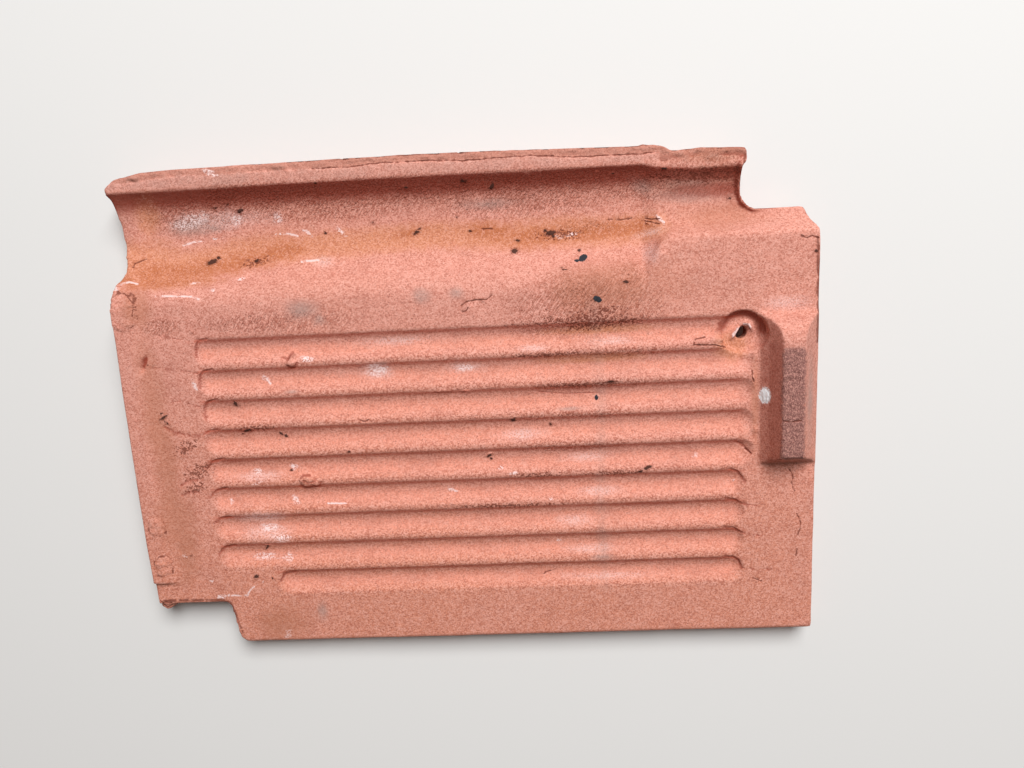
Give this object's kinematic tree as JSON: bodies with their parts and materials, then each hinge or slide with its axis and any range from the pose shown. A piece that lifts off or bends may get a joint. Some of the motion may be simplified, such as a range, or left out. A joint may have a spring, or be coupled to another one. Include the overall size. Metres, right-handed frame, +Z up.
{
  "type": "interlocking clay roof tile",
  "caption": "Single-lap clay roof tile with a flat pan, a hollow roll along one side, a grooved underside, a batten nib and a nail hole.",
  "frame": {"origin": "on the floor, under the centre of the tile's box, with the tile lying underside up on its roll and its underlock rib", "axes": "+X from the tail to the head (the batten end), +Y from the underlock edge to the roll, +Z up, out of the underside"},
  "size_m": [0.3454, 0.249, 0.0406],
  "materials": {
    "fired_clay": "unglazed fired clay, matt, lightly weathered"
  },
  "bodies": {
    "root": {"clay_tile": "fired_clay"}
  },
  "joints": []
}
